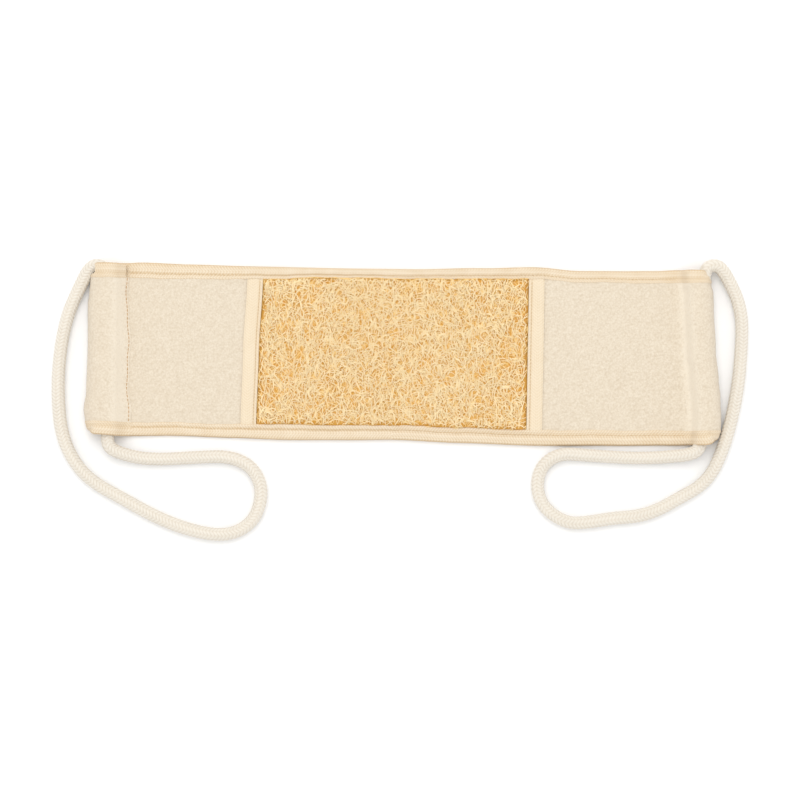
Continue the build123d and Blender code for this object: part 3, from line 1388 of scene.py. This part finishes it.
@dataclass
class LoofahPad:
    """The loofah: a crowned mat of fibre under several layers of loose curly fibres.

    Each layer is a number of fibres and their height in the mat, from 0 to 1, which sets only how much
    painted shade their colour gets.
    """

    crown: float = 3.9 * MM
    rise: float = 2.4 * MM
    under_tape: float = 0.8 * MM
    tucked: float = 9.0 * MM
    edge_inset: float = 2.2 * MM
    base: float = 0.5 * MM
    mat_below: float = 0.7 * MM
    rough: float = 0.35 * MM
    roll: float = 0.35 * MM
    rough_size: float = 1.6 * MM
    fibre_radius: float = 0.28 * MM
    fibre_points: int = 7
    fibre_step: float = 1.35 * MM
    weave: float = 0.45 * MM
    layer_step: float = 0.5 * MM
    flowing: float = 0.85
    lean_spread: float = 0.42
    curl_spread: float = 0.22
    wander: float = 0.24
    end_clearance: float = 0.5 * MM
    edge_clearance: float = 0.6 * MM
    mat_faces: tuple[int, int] = (150, 180)
    mat_size: tuple[float, float] = (20.0, 22.0)
    # The mat is painted in the deepest shade and shows through as dark holes between the fibres
    deepest_shade: float = 0.05
    layers: tuple[tuple[int, float], ...] = ((3000, 0.25), (3000, 0.5), (2900, 0.8), (2600, 1.0))

    def edges(self, x: np.ndarray) -> tuple[np.ndarray, np.ndarray]:
        """The lower and upper edge of what shows of the loofah.

        Args:
            x: Places along the strap.

        Returns:
            Both edges at each of them.
        """
        reach = HALF_WIDTH + self.under_tape
        lower, upper = (reach - STRAP[End.LEFT].leaf(edge, x) for edge in (Edge.LOWER, Edge.UPPER))
        return -lower, upper

    def height(self, x: np.ndarray, y: np.ndarray) -> np.ndarray:
        """The height of the mat's crowned front.

        Args:
            x: Places along the strap.
            y: Places across it.

        Returns:
            The height at each of them.
        """
        below, above = self.edges(x)
        inset = np.minimum(np.minimum(x - LOOFAH_LEFT, LOOFAH_RIGHT - x), np.minimum(y - below, above - y))
        swell = 1 - np.exp(-np.maximum(inset, 0) / self.rise)
        roll = self.roll * np.sin(y / (9 * MM) + 0.6 * np.sin(x / (30 * MM)))
        return FRONT + self.base + (self.crown + roll) * swell

    def mat(self, material: Material) -> None:
        """Makes the mat itself, with its edges pressed under the tapes.

        Args:
            material: What it is made of.
        """
        start, stop = LOOFAH_LEFT - self.tucked, LOOFAH_RIGHT + self.tucked
        half = HALF_WIDTH - self.edge_inset

        def place(along: np.ndarray, round_it: np.ndarray) -> np.ndarray:
            """Points round the mat.

            Args:
                along: Places along it, from 0 to 1.
                round_it: Places round it, from 0 to 1, the first half on its front.

            Returns:
                The points.
            """
            x = start + along * (stop - start)
            front = round_it < 0.5
            share = np.where(front, round_it * 2, 2 - round_it * 2)
            y = (share * 2 - 1) * half
            rough = lumps(np.stack([x, y, 0 * x], axis=1), self.rough_size) * self.rough
            top = self.height(x, y) - self.mat_below + np.where(np.abs(y) < FIELD_EDGE, rough, 0)
            tapered = (share > 0.001) & (share < 0.999) & (along > 0.001) & (along < 0.999)
            z = np.where(front & tapered, top, FRONT - 0.1 * MM)
            return LAY.settle(np.stack([x, y, z], axis=1))

        mesh = bent_grid("loofah_mat", self.mat_faces, place, self.mat_size, closed=True)
        made = show("loofah_mat", mesh, material)
        fix(made, "pad", "loofah", "loofah_pad")

    def layer(self, number: int, count: int, material: Material) -> None:
        """Makes one layer of curly fibres.

        Args:
            number: Its place from the bottom, from 0.
            count: How many fibres it has.
            material: What they are made of.
        """
        chance = np.random.default_rng(11 + number)
        points = self.fibre_points
        inset = 1.0 * MM
        x = chance.uniform(LOOFAH_LEFT + inset, LOOFAH_RIGHT - inset, count)
        y = chance.uniform(-FIELD_EDGE - 2 * MM, FIELD_EDGE + 3 * MM, count)
        flowing = chance.random(count) < self.flowing
        across = chance.normal(np.pi / 2, self.lean_spread, count)
        heading = np.where(flowing, across, chance.uniform(0, np.pi, count))
        heading = heading + 0.25 * np.sin(x / (25 * MM))
        curl = chance.normal(0, self.curl_spread, count)
        phase, pace = chance.uniform(0, 2 * np.pi, count), chance.uniform(0.8, 1.6, count)
        depth = (number - 0.5 * len(self.layers)) * self.layer_step
        lines = np.zeros((count, points, 3))
        for step in range(points):
            below, above = self.edges(x)
            y = np.clip(y, below + self.edge_clearance, above - self.edge_clearance)
            x = np.clip(x, LOOFAH_LEFT + self.end_clearance, LOOFAH_RIGHT - self.end_clearance)
            weave = self.weave * np.sin(phase + step * pace)
            lines[:, step] = np.stack([x, y, self.height(x, y) + depth + weave], axis=1)
            heading = heading + curl + chance.normal(0, self.wander, count)
            x = x + self.fibre_step * np.cos(heading)
            y = y + self.fibre_step * np.sin(heading)
        widths = chance.uniform(0.7, 1.35, (count, 1)) * np.linspace(0.8, 1.0, points)
        widths[:, [0, -1]] *= 0.5
        mesh = threads(f"loofah_fibre_{number}", LAY.settle(lines), self.fibre_radius, widths)
        fix(show(f"loofah_fibres_{number}", mesh, material), "pad", "loofah")

    def build(self, finish: LoofahFinish) -> None:
        """Makes the mat and its loose fibres.

        Args:
            finish: What gives each depth its material.
        """
        self.mat(finish.material(self.deepest_shade))
        for number, (count, height) in enumerate(self.layers):
            self.layer(number, count, finish.material(height))


@dataclass
class CrossTape:
    """A tape across the strap that covers one end of the loofah, with its row of stitches.

    Its crown goes from the tape's outer edge, at 0, to the loofah, at 1, and its tuck is read across the
    strap. Both are in millimetres.
    """

    end: End
    width: float = 11.0 * MM
    edge_inset: float = 6.2 * MM
    thickness: float = 0.5 * MM
    groove: float = 0.81
    stitch_inset: float = 2.1 * MM
    stitch_pitch: float = 2.4 * MM
    stitch_share: float = 0.72
    stitch_arch: float = 0.22 * MM
    stitch_thread: float = 0.24 * MM
    faces: tuple[int, int] = (110, 26)
    crown: Knots = ((0.0, -0.8), (0.14, 0.0), (0.68, 0.1), (0.8, -0.15), (0.9, 0.12), (1.0, -0.1))
    tuck: Knots = ((48.5, 0.0), (51.5, -0.7))

    def height(self, inward: np.ndarray, y: np.ndarray) -> np.ndarray:
        """The tape's front, grooved along its stitches and tucked under the bindings.

        Args:
            inward: How far from the tape's outer edge, from 0 to 1 at the loofah.
            y: How far across the strap.

        Returns:
            The height.
        """
        shape = between(inward, self.crown) + between(np.abs(y) / MM, self.tuck)
        return CENTRE_FRONT + (0.55 + shape) * MM

    def build(self, tape: Material, thread: Material) -> None:
        """Makes the tape and its stitches.

        Args:
            tape: What the tape is made of.
            thread: What its stitches are made of.
        """
        word = self.end.word
        node = f"{word}_cross_tape"
        outer, inner = low(node, 0), high(node, 0)
        if self.end is End.RIGHT:
            outer, inner = inner, outer
        half = HALF_WIDTH - self.edge_inset

        def place(along: np.ndarray, inward: np.ndarray) -> np.ndarray:
            """Points on the tape.

            Args:
                along: Places along it, from 0 to 1.
                inward: Places across it, from 0 to 1 at the loofah.

            Returns:
                The points.
            """
            y = (along * 2 - 1) * half
            x = outer + (inner - outer) * inward
            return LAY.settle(np.stack([x, y, self.height(inward, y)], axis=1))

        def relief(along: np.ndarray, inward: np.ndarray) -> np.ndarray:
            """Low in the stitched groove, which the tape's material paints as shade."""
            return 0.9 - 0.8 * np.exp(-(((inward - self.groove) / 0.05) ** 2))

        size = (2 * half / CM, self.width / CM)
        options = {"relief": relief, "flipped": self.end is End.LEFT, "thickness": self.thickness}
        made = show(f"{word}_end_tape", bent_grid(node, self.faces, place, size, **options), tape)
        fix(made, "pad", "tape", node)
        self.sew(inner + self.end.value * self.stitch_inset, thread)

    def sew(self, x_row: float, thread: Material) -> None:
        """Sews the row of stitches beside the loofah.

        Args:
            x_row: Where the row lies along the strap.
            thread: The thread.
        """
        word = self.end.word
        length = self.stitch_pitch * self.stitch_share
        y = stitches(-FIELD_EDGE, FIELD_EDGE, self.stitch_pitch, length)
        z = self.height(np.full_like(y, self.groove), y) + self.stitch_arch * ARCH
        lines = LAY.settle(np.stack([np.full_like(y, x_row), y, z], axis=2))
        mesh = threads(f"{word}_end_thread", lines, self.stitch_thread)
        fix(show(f"{word}_end_stitching", mesh, thread), "pad", "thread", f"{word}_cross_stitching")


@dataclass
class Studio:
    """The floor, the light and the camera."""

    look_at: tuple[float, float] = (-0.0005, -0.0322)
    height: float = 2.0
    subject_height: float = 6.0 * MM
    view_width: float = 0.56
    turn: float = 1.0
    sensor_width: float = 36.0
    surroundings: float = 1.05
    lamp_power: float = 28.0
    lamp_size: float = 2.0
    lamp_place: Point = (-0.2, 1.3, 2.8)
    floor_reach: float = 6.0

    def camera(self) -> None:
        """A long lens looking straight down."""
        data = bpy.data.cameras.new("camera")
        data.sensor_width = self.sensor_width
        data.lens = data.sensor_width * (self.height - self.subject_height) / self.view_width
        made = bpy.data.objects.new("camera", data)
        made.location = (*self.look_at, self.height)
        made.rotation_euler = (0, 0, math.radians(self.turn))
        bpy.context.scene.collection.objects.link(made)
        bpy.context.scene.camera = made

    def light(self) -> None:
        """White surroundings and one large soft lamp above the strap's upper edge."""
        scene = bpy.context.scene
        scene.view_settings.view_transform = "Standard"
        world = bpy.data.worlds.new("surroundings")
        world.use_nodes = True
        background = world.node_tree.nodes["Background"]
        background.inputs["Color"].default_value = (1, 1, 1, 1)
        background.inputs["Strength"].default_value = self.surroundings
        scene.world = world
        data = bpy.data.lights.new("soft_lamp", "AREA")
        data.size = self.lamp_size
        data.energy = self.lamp_power
        made = bpy.data.objects.new("soft_lamp", data)
        made.location = self.lamp_place
        made.rotation_euler = (-made.location).to_track_quat("-Z", "Y").to_euler()
        scene.collection.objects.link(made)

    def floor(self) -> None:
        """A wide plain floor under the strap."""
        shape = bmesh.new()
        bmesh.ops.create_grid(shape, x_segments=1, y_segments=1, size=self.floor_reach)
        mesh = bpy.data.meshes.new("floor")
        shape.to_mesh(mesh)
        shape.free()
        made = show("floor", mesh, FloorFinish().material())


# Each loop's route, from where it leaves the upper edge round to the lower edge
LEFT_ROUTE: Sequence[Point] = (
    (-0.205, 0.042, 0.00825), (-0.2064, 0.0536, 0.0081), (-0.2105, 0.0582, 0.0076),
    (-0.2164, 0.0583, 0.0067), (-0.2206, 0.0542, 0.0059), (-0.225, 0.0452, 0.0051),
    (-0.2294, 0.0356, 0.0049), (-0.2342, 0.0235, 0.0046), (-0.238, 0.006, 0.0046),
    (-0.2399, -0.013, 0.0046), (-0.2401, -0.03, 0.0046), (-0.239, -0.047, 0.0046),
    (-0.2366, -0.0605, 0.0046), (-0.2312, -0.074, 0.0046), (-0.222, -0.087, 0.0046),
    (-0.2098, -0.0963, 0.0046), (-0.195, -0.1038, 0.0046), (-0.1802, -0.112, 0.0046),
    (-0.1638, -0.1197, 0.0046), (-0.1473, -0.1254, 0.0046), (-0.1298, -0.1289, 0.0046),
    (-0.1152, -0.1278, 0.0046), (-0.1028, -0.12, 0.0046), (-0.0974, -0.108, 0.0046),
    (-0.0962, -0.0954, 0.0046), (-0.1016, -0.0832, 0.0046), (-0.1113, -0.0764, 0.0046),
    (-0.1233, -0.0738, 0.0046), (-0.1365, -0.0744, 0.0046), (-0.1513, -0.0755, 0.0046),
    (-0.166, -0.0766, 0.0046), (-0.181, -0.0762, 0.0049), (-0.193, -0.0735, 0.0064),
    (-0.2035, -0.0695, 0.008), (-0.205, -0.0605, 0.00825), (-0.205, -0.05, 0.00825),
)
RIGHT_ROUTE: Sequence[Point] = (
    (0.2105, 0.046, 0.00825), (0.2105, 0.0614, 0.0082), (0.2146, 0.0656, 0.008),
    (0.2204, 0.0656, 0.0074), (0.225, 0.0608, 0.0066), (0.2296, 0.0528, 0.0055),
    (0.2348, 0.0424, 0.0048), (0.2382, 0.0276, 0.0046), (0.238, 0.0083, 0.0046),
    (0.2367, -0.012, 0.0046), (0.234, -0.0315, 0.0046), (0.2297, -0.0508, 0.0046),
    (0.2252, -0.0656, 0.0046), (0.2186, -0.0805, 0.0046), (0.209, -0.0903, 0.0046),
    (0.197, -0.097, 0.0046), (0.1825, -0.1057, 0.0046), (0.168, -0.1108, 0.0046),
    (0.1504, -0.1123, 0.0046), (0.1343, -0.1153, 0.0046), (0.1205, -0.1166, 0.0046),
    (0.1098, -0.1122, 0.0046), (0.101, -0.1046, 0.0046), (0.0966, -0.0942, 0.0046),
    (0.0974, -0.0816, 0.0046), (0.1035, -0.0726, 0.0046), (0.1142, -0.0676, 0.0046),
    (0.1289, -0.0685, 0.0046), (0.145, -0.0693, 0.0046), (0.162, -0.07, 0.0046),
    (0.178, -0.0696, 0.0048), (0.19, -0.0684, 0.0058), (0.201, -0.0672, 0.0074),
    (0.2088, -0.0642, 0.0082), (0.2105, -0.056, 0.00825), (0.2105, -0.046, 0.00825),
)
LOOPS = (HandLoop(End.LEFT, LEFT_ROUTE, 0.463), HandLoop(End.RIGHT, RIGHT_ROUTE, 0.458))
STRAP = {end: StrapHalf(end) for end in End}


def main() -> None:
    """Builds the scrubber piece by piece."""
    logging.basicConfig(level=logging.INFO, format="%(message)s")
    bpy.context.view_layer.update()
    studio = Studio()
    studio.camera()
    thread = ThreadFinish().material()
    cotton = CordFinish().material()
    for loop in LOOPS:
        loop.build(cotton, thread)
    studio.floor()
    studio.light()
    terry, tape = TerryFinish().material(), TapeFinish().material()
    seam_thread = ThreadFinish("tan_thread", tint(222, 180, 122), tint(190, 140, 82)).material()
    for half in STRAP.values():
        half.build(terry, tape, thread, seam_thread)
    BarTacks().build(thread)
    LoofahPad().build(LoofahFinish())
    plain_tape = TapeFinish("cross_tape", tint(246, 230, 204), tint(233, 211, 176)).material()
    for end in End:
        CrossTape(end).build(plain_tape, thread)


if __name__ == "__main__":
    main()
